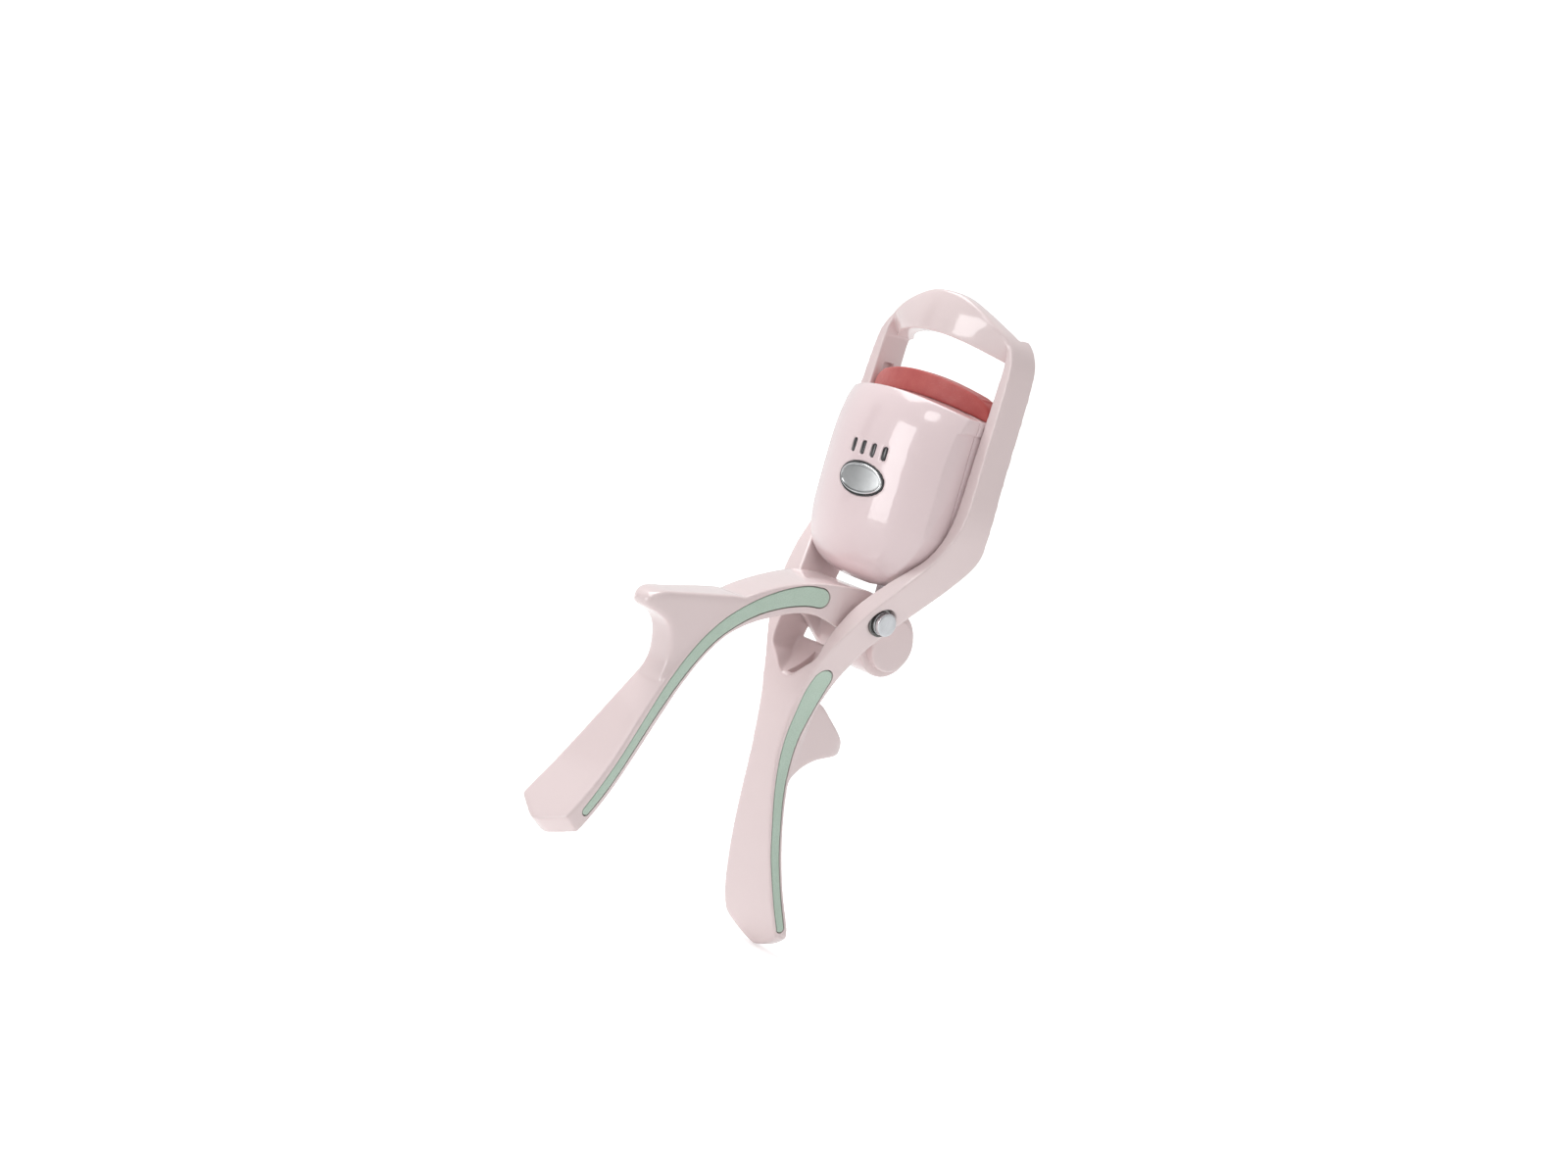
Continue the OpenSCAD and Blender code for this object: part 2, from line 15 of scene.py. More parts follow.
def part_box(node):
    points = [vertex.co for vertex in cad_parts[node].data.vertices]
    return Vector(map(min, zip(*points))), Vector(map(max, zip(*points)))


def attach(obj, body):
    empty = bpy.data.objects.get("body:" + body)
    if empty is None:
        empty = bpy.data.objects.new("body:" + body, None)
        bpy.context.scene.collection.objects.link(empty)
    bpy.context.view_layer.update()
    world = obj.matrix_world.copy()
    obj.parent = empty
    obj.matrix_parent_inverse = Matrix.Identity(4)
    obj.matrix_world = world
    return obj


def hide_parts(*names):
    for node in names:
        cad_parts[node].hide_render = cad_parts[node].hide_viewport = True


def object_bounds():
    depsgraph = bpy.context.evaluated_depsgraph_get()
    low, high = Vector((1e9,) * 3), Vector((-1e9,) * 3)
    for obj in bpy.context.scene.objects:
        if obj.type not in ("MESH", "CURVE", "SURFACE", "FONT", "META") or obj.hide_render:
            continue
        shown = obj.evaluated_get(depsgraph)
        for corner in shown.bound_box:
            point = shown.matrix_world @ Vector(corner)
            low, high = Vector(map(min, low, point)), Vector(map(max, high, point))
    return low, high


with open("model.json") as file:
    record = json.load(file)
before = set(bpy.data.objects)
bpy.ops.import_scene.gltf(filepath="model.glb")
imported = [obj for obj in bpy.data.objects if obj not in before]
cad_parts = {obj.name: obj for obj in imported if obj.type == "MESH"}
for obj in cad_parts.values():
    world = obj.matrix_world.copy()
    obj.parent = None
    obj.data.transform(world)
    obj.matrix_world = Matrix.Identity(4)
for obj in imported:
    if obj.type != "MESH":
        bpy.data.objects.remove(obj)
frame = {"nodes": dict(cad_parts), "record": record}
cad_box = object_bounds()

MM = 0.001
CYCLE = 2 * math.pi

# the housing's bulging front, as an upright cylinder
FRONT_RADIUS_MM = 24.3
FRONT_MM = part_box("housing_front")[0].y / MM
FRONT_CENTRE_MM = FRONT_MM + FRONT_RADIUS_MM
SIDE_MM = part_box("housing_front")[1].x / MM

# the upper bar's front, curved in plan, and the height at which the arms start to curve in towards it
BAR_RADIUS_MM = 29.5
BAR_FRONT_MM = 3.6
ARM_CURVE_MM = 43.3


# ---------------------------------------------------------------- mesh helpers

def box_mm(node):
    """Lowest and highest corners of a CAD node, in millimetres."""
    low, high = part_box(node)
    return low / MM, high / MM


def centre_mm(node):
    low, high = box_mm(node)
    return (low + high) / 2


def mesh_from(bm, name):
    mesh = bpy.data.meshes.new(name)
    bmesh.ops.recalc_face_normals(bm, faces=bm.faces)
    bm.to_mesh(mesh)
    bm.free()
    return mesh


def modified(mesh, *modifiers):
    """The mesh after a list of (kind, settings) modifiers."""
    carrier = bpy.data.objects.new("carrier", mesh)
    bpy.context.scene.collection.objects.link(carrier)
    for kind, settings in modifiers:
        modifier = carrier.modifiers.new(kind, kind)
        for key, value in settings.items():
            setattr(modifier, key, value)
    evaluated = carrier.evaluated_get(bpy.context.evaluated_depsgraph_get())
    result = bpy.data.meshes.new_from_object(evaluated)
    bpy.data.objects.remove(carrier)
    return result


def cad_copy(node):
    """A welded copy of a CAD node's mesh, in millimetres."""
    bm = bmesh.new()
    bm.from_mesh(frame["nodes"][node].data)
    bmesh.ops.scale(bm, vec=(1 / MM,) * 3, verts=bm.verts)
    bmesh.ops.remove_doubles(bm, verts=bm.verts, dist=0.002)
    return mesh_from(bm, node)


def combined(mesh, other, operation):
    """The mesh after a boolean operation with another closed mesh."""
    tool = bpy.data.objects.new("tool", other)
    bpy.context.scene.collection.objects.link(tool)
    result = modified(mesh, ("BOOLEAN", {"operation": operation, "object": tool, "solver": "MANIFOLD"}))
    bpy.data.objects.remove(tool)
    return result


def carved(mesh, *cutters):
    """The mesh with each cutter mesh taken away."""
    for cutter in cutters:
        mesh = combined(mesh, cutter, "DIFFERENCE")
    return mesh


def joined(*meshes):
    bm = bmesh.new()
    for mesh in meshes:
        bm.from_mesh(mesh)
    return mesh_from(bm, "joined")


def shifted(mesh, x_mm):
    """A copy of the mesh moved along X."""
    copy = mesh.copy()
    copy.transform(Matrix.Translation((x_mm, 0, 0)))
    return copy


def remade(mesh, voxel_mm):
    return modified(mesh, ("REMESH", {"mode": "VOXEL", "voxel_size": voxel_mm}))


def smoothed(mesh, rounds):
    return modified(mesh, ("SMOOTH", {"factor": 0.5, "iterations": rounds}))


def grown(mesh, amount_mm):
    """The mesh with its skin moved out along its normals."""
    return modified(mesh, ("DISPLACE", {"strength": amount_mm, "mid_level": 0.0}))


def moulded(mesh, voxel_mm, rounds):
    """Remakes a mesh evenly and rounds its edges, as a mould does."""
    return smoothed(remade(mesh, voxel_mm), rounds)


def clamped(value):
    return min(max(value, 0.0), 1.0)


def eased(value):
    """Smooth step from 0 to 1."""
    t = clamped(value)
    return t * t * (3 - 2 * t)


def sculpted(mesh, rule):
    """Moves each vertex to where the rule puts it."""
    for vertex in mesh.vertices:
        vertex.co = rule(vertex.co)
    return mesh


def softened(mesh, crisp_rounds, soft_rounds, softness):
    """Rounds edges lightly where softness is 0 and strongly where it is 1."""
    crisp, soft = smoothed(mesh, crisp_rounds), smoothed(mesh, soft_rounds)
    for kept, moved in zip(crisp.vertices, soft.vertices):
        kept.co = kept.co.lerp(moved.co, softness(kept.co))
    return crisp


def prism(outline, axis, low_mm, high_mm):
    """A flat outline pushed along an axis: "x" takes (y, z) points, "y" takes (x, z), "z" takes (x, y)."""
    place = {
        "x": lambda p, d: (d, p[0], p[1]),
        "y": lambda p, d: (p[0], d, p[1]),
        "z": lambda p, d: (p[0], p[1], d),
    }[axis]
    bm = bmesh.new()
    ends = [[bm.verts.new(place(p, d)) for p in outline] for d in (low_mm, high_mm)]
    bm.faces.new(ends[0])
    bm.faces.new(ends[1])
    for i in range(len(outline)):
        j = (i + 1) % len(outline)
        bm.faces.new((ends[0][i], ends[0][j], ends[1][j], ends[1][i]))
    return mesh_from(bm, "prism")


def skinned(rings, name, closed_ends=True):
    """A skin over rings of equally many points."""
    bm = bmesh.new()
    loops = [[bm.verts.new(p) for p in ring] for ring in rings]
    count = len(loops[0])
    for a, b in zip(loops, loops[1:]):
        for i in range(count):
            j = (i + 1) % count
            bm.faces.new((a[i], a[j], b[j], b[i]))
    if closed_ends:
        bm.faces.new(loops[0])
        bm.faces.new(loops[-1])
    return mesh_from(bm, name)


def turned(profile, centre, name, steps=96):
    """A part turned about an axis along X from a profile of (x, radius) points."""
    angles = [CYCLE * i / steps for i in range(steps)]
    rings = [
        [(x, centre.y + radius * math.cos(a), centre.z + radius * math.sin(a)) for a in angles]
        for x, radius in profile
    ]
    return skinned(rings, name)


def rounded_step(x, radius, fillet, steps=6):
    """Profile points that round an outer end corner at x."""
    return [
        (x - fillet + fillet * math.sin(a), radius - fillet + fillet * math.cos(a))
        for a in (math.pi / 2 * i / steps for i in range(steps + 1))
    ]


def front_y(x_mm):
    """Depth of the housing's front at x."""
    return FRONT_CENTRE_MM - math.sqrt(FRONT_RADIUS_MM**2 - x_mm**2)


def oval_ring(half_width, half_height, rise, centre_z, steps=128):
    """An oval on the housing's front, standing out by rise."""
    ring = []
    for i in range(steps):
        angle = CYCLE * i / steps
        x = half_width * math.cos(angle)
        ring.append((x, front_y(x) - rise, centre_z + half_height * math.sin(angle)))
    return ring


def link(name, mesh, material, body, slot, *stands_for):
    """Adds a finished mesh, in millimetres, as a piece that rides on a body."""
    mesh.transform(Matrix.Scale(MM, 4))
    mesh.name = name
    mesh.materials.clear()
    mesh.materials.append(material)
    mesh.shade_smooth()
    mesh.set_sharp_from_angle(angle=math.radians(38))
    piece = bpy.data.objects.new(name, mesh)
    bpy.context.scene.collection.objects.link(piece)
    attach(piece, body)
    if stands_for:
        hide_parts(*stands_for)
    return piece


# ---------------------------------------------------------------- material helpers

def srgb(red, green, blue):
    """Linear colour from 0 to 255 display values."""
    return tuple(((c / 255 + 0.055) / 1.055) ** 2.4 for c in (red, green, blue)) + (1.0,)


def new_material(name):
    material = bpy.data.materials.new(name)
    material.use_nodes = True
    tree = material.node_tree
    return material, tree, tree.nodes["Principled BSDF"]


def feed(tree, socket, value):
    """Links another node's output to an input, or sets its value."""
    if isinstance(value, bpy.types.NodeSocket):
        tree.links.new(value, socket)
    else:
        socket.default_value = value


def set_inputs(tree, target, **inputs):
    for key, value in inputs.items():
        feed(tree, target.inputs[key.replace("_", " ")], value)


def add_node(tree, kind, settings=None, **inputs):
    """A shader node; an input is a value or another node's output."""
    made = tree.nodes.new("ShaderNode" + kind)
    for key, value in (settings or {}).items():
        setattr(made, key, value)
    set_inputs(tree, made, **inputs)
    return made


def noise(tree, size_mm, detail=2.0, stretch=(1, 1, 1)):
    """Noise of about this grain size; stretch makes it finer along an axis."""
    coords = add_node(tree, "TexCoord").outputs["Object"]
    mapping = add_node(tree, "Mapping", Vector=coords, Scale=stretch)
    texture = add_node(tree, "TexNoise", Vector=mapping.outputs["Vector"], Scale=1 / (size_mm * MM),
                       Detail=detail, Roughness=0.55)
    return texture.outputs["Fac"]


def ranged(tree, value, low, high, start=0.3, end=0.7):
    """Maps a texture value between two limits."""
    made = add_node(tree, "MapRange", Value=value)
    for key, number in (("From Min", start), ("From Max", end), ("To Min", low), ("To Max", high)):
        made.inputs[key].default_value = number
    return made.outputs["Result"]


def mixed(tree, factor, first, second):
    """A colour between two colours."""
    mix = add_node(tree, "Mix", {"data_type": "RGBA"})
    factor_input, first_input, second_input, colour_output = 0, 6, 7, 2
    for index, value in ((factor_input, factor), (first_input, first), (second_input, second)):
        feed(tree, mix.inputs[index], value)
    return mix.outputs[colour_output]


def bumped(tree, bsdf, layers):
    """Stacks bump layers of (height, depth in micrometres) on a surface."""
    normal = None
    for height, depth_um in layers:
        bump = add_node(tree, "Bump", Strength=1.0, Distance=depth_um * MM * MM, Height=height)
        if normal is not None:
            tree.links.new(normal, bump.inputs["Normal"])
        normal = bump.outputs["Normal"]
    tree.links.new(normal, bsdf.inputs["Normal"])


# ---------------------------------------------------------------- materials

def gloss_shell(name, tone, deep_tone):
    """Glossy lacquered plastic with faint flow marks, orange peel and a few fine hairlines."""
    material, tree, bsdf = new_material(name)
    flow = ranged(tree, noise(tree, 22, 1, (1, 1, 0.5)), 0.0, 0.6)
    fleck = ranged(tree, noise(tree, 0.35, 2), 0.0, 0.12, 0.62, 0.75)
    set_inputs(
        tree,
        bsdf,
        Base_Color=mixed(tree, fleck, mixed(tree, flow, tone, deep_tone), srgb(248, 240, 238)),
        Roughness=ranged(tree, noise(tree, 2.5, 3), 0.26, 0.36, 0.0, 1.0),
        Specular_IOR_Level=0.3,
        Coat_Weight=1.0,
        Coat_Roughness=ranged(tree, noise(tree, 0.9, 3), 0.05, 0.08, 0.0, 1.0),
        IOR=1.5,
    )
    bumped(tree, bsdf, [(noise(tree, 1.4, 2), 1.6), (noise(tree, 0.12, 1), 0.4)])
    return material


def soft_grip():
    """Soft-touch elastomer with a fine eroded grain."""
    material, tree, bsdf = new_material("mint_soft_touch")
    patch = ranged(tree, noise(tree, 6, 3), 0.0, 1.0)
    tone = mixed(tree, patch, srgb(194, 215, 199), srgb(201, 221, 207))
    speck = ranged(tree, noise(tree, 0.16, 2), 0.0, 1.0, 0.42, 0.62)
    set_inputs(
        tree,
        bsdf,
        Base_Color=mixed(tree, speck, tone, srgb(188, 210, 194)),
        Roughness=ranged(tree, noise(tree, 0.3, 3), 0.42, 0.58),
        Sheen_Weight=0.15,
        Sheen_Roughness=0.4,
    )
    bumped(tree, bsdf, [(noise(tree, 0.14, 2), 6.0), (noise(tree, 1.6, 2), 6.0)])
    return material


def silicone():
    """Matt red silicone with a powdery bloom and a fine moulded grain."""
    material, tree, bsdf = new_material("red_silicone")
    bloom = ranged(tree, noise(tree, 3.2, 4), 0.0, 1.0, 0.35, 0.75)
    tone = mixed(tree, bloom, srgb(184, 72, 68), srgb(194, 88, 82))
    dust = ranged(tree, noise(tree, 0.2, 2), 0.0, 0.35, 0.6, 0.75)
    set_inputs(
        tree,
        bsdf,
        Base_Color=mixed(tree, dust, tone, srgb(208, 120, 113)),
        Roughness=ranged(tree, noise(tree, 0.6, 3), 0.4, 0.56),
        Sheen_Weight=0.2,
        Sheen_Roughness=0.5,
    )
    bumped(tree, bsdf, [(noise(tree, 0.18, 2), 5.0), (noise(tree, 2.2, 2), 10.0)])
    return material


def polished_metal(name, tone, low_roughness, high_roughness, stretch):
    """Plated metal with fine polishing lines and light smudges."""
    material, tree, bsdf = new_material(name)
    lines = noise(tree, 0.5, 3, stretch)
    smudge = ranged(tree, noise(tree, 1.8, 4), 0.0, 1.0, 0.35, 0.7)
    darker = tuple(c * 0.86 for c in tone[:3]) + (1.0,)
    set_inputs(
        tree,
        bsdf,
        Base_Color=mixed(tree, smudge, tone, darker),
        Metallic=1.0,
        Roughness=ranged(tree, smudge, low_roughness, high_roughness, 0.0, 1.0),
        Anisotropic=0.3,
    )
    bumped(tree, bsdf, [(lines, 0.6)])
    return material


def dark_plastic(name, tone, low_roughness, high_roughness):
    """Dark engineering plastic with a fine spark-eroded grain."""
    material, tree, bsdf = new_material(name)
    cloud = ranged(tree, noise(tree, 1.5, 3), 0.0, 1.0)
    lighter = tuple(c * 1.5 + 0.004 for c in tone[:3]) + (1.0,)
    set_inputs(
        tree,
        bsdf,
        Base_Color=mixed(tree, cloud, tone, lighter),
        Roughness=ranged(tree, noise(tree, 0.3, 3), low_roughness, high_roughness),
        Coat_Weight=0.3,
        Coat_Roughness=0.08,
    )
    bumped(tree, bsdf, [(noise(tree, 0.09, 2), 2.0)])
    return material


def board_laminate():
    """Green board: solder mask with copper tracks showing through."""
    material, tree, bsdf = new_material("board_laminate")
    coords = add_node(tree, "TexCoord").outputs["Object"]
    black, white = (0, 0, 0, 1), (1, 1, 1, 1)
    tracks = add_node(tree, "TexBrick", Vector=coords, Scale=420.0, Mortar_Size=0.05, Color1=black,
                      Color2=black, Mortar=white)
    weave = ranged(tree, noise(tree, 0.4, 2), 0.0, 1.0)
    mask = mixed(tree, weave, srgb(24, 92, 60), srgb(30, 104, 70))
    set_inputs(
        tree,
        bsdf,
        Base_Color=mixed(tree, tracks.outputs["Fac"], mask, srgb(58, 132, 84)),
        Roughness=ranged(tree, noise(tree, 0.8, 2), 0.25, 0.4),
        Coat_Weight=0.4,
    )
    bumped(tree, bsdf, [(tracks.outputs["Fac"], 15.0), (noise(tree, 0.2, 2), 2.0)])
    return material


def cell_wrap():
    """Heat-shrunk film over a small cell, slightly wrinkled."""
    material, tree, bsdf = new_material("cell_wrap")
    fold = noise(tree, 2.0, 4, (1, 1, 3))
    set_inputs(
        tree,
        bsdf,
        Base_Color=mixed(tree, ranged(tree, fold, 0.0, 1.0), srgb(84, 108, 140), srgb(98, 124, 158)),
        Roughness=ranged(tree, fold, 0.18, 0.32),
        Coat_Weight=0.5,
    )
    bumped(tree, bsdf, [(fold, 40.0)])
    return material


def ceramic():
    """Fired ceramic of the heater and the light sources."""
    material, tree, bsdf = new_material("heater_ceramic")
    grain = noise(tree, 0.25, 3)
    set_inputs(
        tree,
        bsdf,
        Base_Color=mixed(tree, ranged(tree, grain, 0.0, 1.0), srgb(236, 230, 214), srgb(222, 214, 198)),
        Roughness=ranged(tree, grain, 0.5, 0.7),
    )
    bumped(tree, bsdf, [(grain, 5.0)])
    return material


MATERIALS = {
    "pink_shell": gloss_shell("pink_shell_gloss", srgb(237, 219, 219), srgb(234, 215, 215)),
    "pink_cover": gloss_shell("pink_cover_gloss", srgb(239, 219, 221), srgb(236, 215, 217)),
    "mint_grip": soft_grip(),
    "red_pad": silicone(),
    "chrome_trim": polished_metal("bright_chrome", (0.80, 0.82, 0.85, 1.0), 0.06, 0.14, (1, 6, 6)),
    "dark_trim": dark_plastic("dark_trim_plastic", (0.012, 0.012, 0.014, 1.0), 0.25, 0.4),
    "dark_lens": dark_plastic("dark_lens_plastic", (0.02, 0.019, 0.021, 1.0), 0.12, 0.2),
    "tail_steel": polished_metal("brushed_tail_steel", (0.66, 0.67, 0.69, 1.0), 0.22, 0.36, (10, 10, 0.6)),
    "board_green": board_laminate(),
    "cell_wrap": cell_wrap(),
    "heater_white": ceramic(),
    "copper_lead": polished_metal("tinned_copper", (0.78, 0.48, 0.30, 1.0), 0.25, 0.4, (1, 1, 8)),
}
BUTTON_METAL = polished_metal("satin_button_metal", (0.44, 0.45, 0.455, 1.0), 0.34, 0.42, (1, 1, 9))
# the collar's dark metal is painted shade: it stands in for the shadow in the pin's counterbore and the dark
# reflection round the head
PAINTED_SHADE_COLLAR_METAL = polished_metal("collar_metal_painted_shade", (0.22, 0.215, 0.21, 1.0), 0.16, 0.26, (8, 1, 1))
BORDER_METAL = polished_metal("button_border_chrome", (0.62, 0.63, 0.64, 1.0), 0.08, 0.14, (1, 6, 6))


# ---------------------------------------------------------------- shells

# how far a grip's pocket stands clear of the grip
POCKET_GAP_MM = 0.16


def box_prism(low, high):
    """A block between two corners."""
    outline = [(low[0], low[1]), (high[0], low[1]), (high[0], high[1]), (low[0], high[1])]
    return prism(outline, "z", low[2], high[2])


def add_shell(node, body, voxel_mm, rounds, slot, *cutters):
    """A CAD node remade with moulded edges; cutters restore its crisp recesses."""
    mesh = carved(moulded(cad_copy(node), voxel_mm, rounds), *cutters)
    return link(node + "_shell", mesh, MATERIALS[slot], body, slot, node)


def pocket_form(grip, side, widen_mm):
    """A grip's outline pushed out through the handle's side and widened all round."""
    solid = cad_copy(grip)
    steps_mm, voxel_mm = (0.0, 0.5, 1.0, 1.5), 0.1
    return grown(remade(joined(*(shifted(solid, side * step) for step in steps_mm)), voxel_mm), widen_mm)


def grip_plug(grip, side):
    """Fills the handle's pocket, so that the handle can be rounded as one form."""
    overlap_mm, sunk_mm = 0.2, 0.14
    return shifted(grown(cad_copy(grip), overlap_mm), -sunk_mm * side)


def add_gripped(node, body, grips, voxel_mm, crisp_rounds, soft_rounds, softness, rule=None, cutters=()):
    """A handle rounded as one form, then split into its shell and its inlaid grips."""
    whole = remade(joined(cad_copy(node), *(grip_plug(grip, side) for grip, side in grips)), voxel_mm)
    if rule:
        whole = remade(sculpted(whole, rule), voxel_mm)
    whole = softened(whole, crisp_rounds, soft_rounds, softness)
    shell = carved(whole, *(pocket_form(grip, side, POCKET_GAP_MM) for grip, side in grips), *cutters)
    link(node + "_shell", shell, MATERIALS["pink_shell"], body, "pink_shell", node)
    for grip, side in grips:
        inlay = combined(whole, pocket_form(grip, side, 0.0), "INTERSECT")
        link(grip + "_shell", moulded(inlay, 0.1, 4), MATERIALS["mint_grip"], body, "mint_grip", grip)


def bar_rule(point):
    """Crowns the upper bar and sets its lower edge back towards the arms."""
    arm_mm, back_mm, bottom_mm, margin_mm = 14.0, 12.55, 41.0, 0.12
    drop_mm, drop_top_mm, drop_height_mm = 2.4, 48.6, 5.1
    crown_mm, crown_height_mm, crown_depth_mm, top_sag_mm = 1.0, 5.0, 3.0, 6.4
    arm_edge = arm_mm - 0.078 * max(point.z - ARM_CURVE_MM, 0.0)**2
    if point.z < bottom_mm or abs(point.x) > arm_edge - margin_mm:
        return point
    along = abs(point.x) / arm_mm
    front = BAR_FRONT_MM + BAR_RADIUS_MM - math.sqrt(BAR_RADIUS_MM**2 - point.x**2)
    depth = max(point.y - front, 0.0)
    lower = clamped((drop_top_mm - point.z) / drop_height_mm)**2 * drop_mm * along**2
    top_z = cad_box[1].z / MM - top_sag_mm * along**2
    upper = clamped(1.0 - (top_z - point.z) / crown_height_mm)**2 * crown_mm
    upper *= max(1.0 - depth / crown_depth_mm, 0.0) * (1.0 - along**2)**2
    return Vector((point.x, min(front + depth + lower + upper, max(point.y, back_mm)), point.z))


def frame_softness(point):
    """The handle and the top of the bar are the roundest."""
    return max(eased((-12.5 - point.z) / 4.0), 0.75 * eased((point.z - 44.0) / 3.0))


def lever_softness(point):
    """The finger rest is the roundest, and the hub stays crisp."""
    rest = eased((-20.0 - point.y) / 4.0) * eased((point.z + 14.5) / 3.0)
    return eased((-6.0 - point.y) / 5.0) * (0.55 + 0.45 * rest)


def rest_rule(point):
    """Fills out the nose of the lever's finger rest, which rounding draws in."""
    nose = eased((-33.5 - point.y) / 4.0) * eased((point.z + 9.0) / 3.0)
    return Vector((point.x * (1.0 + 0.12 * nose), point.y - 0.55 * nose, point.z + 0.25 * nose))


def frame_recesses():
    """Slot in the web and the two guide grooves."""
    slot = prism([(-6.25, -11.45), (-1.5, -7.8), (-1.5, -10.05), (-5.0, -12.65)], "x", -0.62, 0.62)
    inner_x, outer_x, front, back, top = 13.6, 14.93, 8.37, 10.43, 38.65
    right = box_prism((inner_x, front, 15.0), (outer_x, back, top))
    left = box_prism((-outer_x, front, 15.0), (-inner_x, back, top))
    return [slot, right, left]


def side_panels():
    """Cutters for the flat panels in the housing's sides, each with an arched front corner."""
    depth_mm, top_mm, corner_mm = 0.42, 31.65, 6.05
    front, back = -2.05, 14.0
    arch = [
        (front + corner_mm - corner_mm * math.cos(a), top_mm - corner_mm + corner_mm * math.sin(a))
        for a in (math.pi / 2 * i / 16 for i in range(17))
    ]
    outline = [(back, -5.0), (front, -5.0)] + arch + [(back, top_mm)]
    return [
        prism(outline, "x", SIDE_MM - depth_mm, SIDE_MM + 5),
        prism(outline, "x", -SIDE_MM - 5, depth_mm - SIDE_MM),
    ]


def add_shells():
    add_gripped("frame", "frame", [("grip_rear_right", 1), ("grip_rear_left", -1)], 0.15, 11, 60,
                frame_softness, bar_rule, frame_recesses())
    add_gripped("front_lever", "lever", [("grip_front_right", 1), ("grip_front_left", -1)], 0.14, 12, 130,
                lever_softness, rest_rule)
    add_shell("housing_front", "housing", 0.13, 22, "pink_cover", *side_panels())
    add_shell("housing_back", "housing", 0.14, 10, "pink_cover", *side_panels())
    add_shell("heat_pad", "housing", 0.12, 36, "red_pad")
    add_shell("lift_tail", "housing", 0.1, 5, "tail_steel")


# ---------------------------------------------------------------- button and indicators

def add_button():
    """Oval button: a bevelled bright border round a flat satin face, following the housing's curve."""
    low, high = box_mm("button_rim")
    rim_mm, gap_mm, border_mm = 0.22, 0.05, 0.42
    half_width = (high.x - low.x) / 2 - rim_mm - gap_mm
    half_height = (high.z - low.z) / 2 - rim_mm - gap_mm
    centre_z = (low.z + high.z) / 2
    # distance in from the edge, and height above the housing's front
    border = [(0.0, -1.6), (0.0, -0.02), (0.04, 0.06), (0.1, 0.12), (0.17, 0.15), (0.22, 0.155), (0.29, 0.15)]
    border += [(0.36, 0.12), (border_mm - 0.04, 0.04), (border_mm, 0.0), (border_mm, -0.4)]
    rings = [oval_ring(half_width - inset, half_height - inset, rise, centre_z) for inset, rise in border]
    link("button_border", skinned(rings, "border"), BORDER_METAL, "button", "chrome_trim", "power_button")
    face = [(1.0, -0.3), (1.0, 0.0), (0.985, 0.035), (0.96, 0.05)]
    face += [(s, 0.055 + 0.03 * (1 - s * s)) for s in (0.94 - 0.09 * i for i in range(11))]
    half_width, half_height = half_width - border_mm - 0.01, half_height - border_mm - 0.01
    rings = [oval_ring(half_width * s, half_height * s, rise, centre_z) for s, rise in face]
    link("button_face", skinned(rings, "face"), BUTTON_METAL, "button", "chrome_trim", "power_button")


def add_button_rim():
    """Thin dark ring round the button, with a rounded crown."""
    low, high = box_mm("button_rim")
    half_width, half_height = (high.x - low.x) / 2, (high.z - low.z) / 2
    centre_z = (low.z + high.z) / 2
    width_mm, crown_mm, foot_mm, shoulder_mm = 0.2, 0.06, -1.2, -0.04
    section = [(0.0, foot_mm), (0.0, shoulder_mm)]
    section += [
        (width_mm / 2 - width_mm / 2 * math.cos(a), crown_mm * math.sin(a) + shoulder_mm)
        for a in (math.pi * i / 8 for i in range(1, 8))
    ]
    section += [(width_mm, shoulder_mm), (width_mm, foot_mm)]
    rings = [oval_ring(half_width - inset, half_height - inset, rise, centre_z) for inset, rise in section]
    bm = bmesh.new()
    bm.from_mesh(skinned(rings + rings[:1], "rim", closed_ends=False))
    bmesh.ops.remove_doubles(bm, verts=bm.verts, dist=0.001)
    link("button_rim_ring", mesh_from(bm, "rim"), MATERIALS["dark_trim"], "housing", "dark_trim",
         "button_rim")


def add_lenses():
    """Indicator windows: rounded dark bars, slightly sunk in their slots."""
    low, high = box_mm("indicator_lenses")
    count, steps = 4, 32
    width_mm, sunk_mm, play_mm, lens_mm = 0.86, 0.12, 0.04, 0.9
    reach = (high.z - low.z - play_mm) / 2 - width_mm / 2
    pitch = (high.x - low.x - lens_mm) / (count - 1)
    middle = (low.z + high.z) / 2
    bars = []
    for number in range(count):
        centre = (number - (count - 1) / 2) * pitch
        rings = []
        for scale, rise in ((1.0, -1.4), (1.0, -0.1), (0.94, -0.03), (0.82, 0.0)):
            radius = width_mm / 2 * scale
            ring = []
            for angle in (CYCLE * i / steps for i in range(steps)):
                x = centre + radius * math.cos(angle)
                z = middle + math.copysign(reach, math.sin(angle)) + radius * math.sin(angle)
                ring.append((x, front_y(x) - rise + sunk_mm, z))
            rings.append(ring)
        bars.append(skinned(rings, "lens"))
    link("indicator_bars", joined(*bars), MATERIALS["dark_lens"], "housing", "dark_lens",
         "indicator_lenses")


# ---------------------------------------------------------------- hinge and knuckle

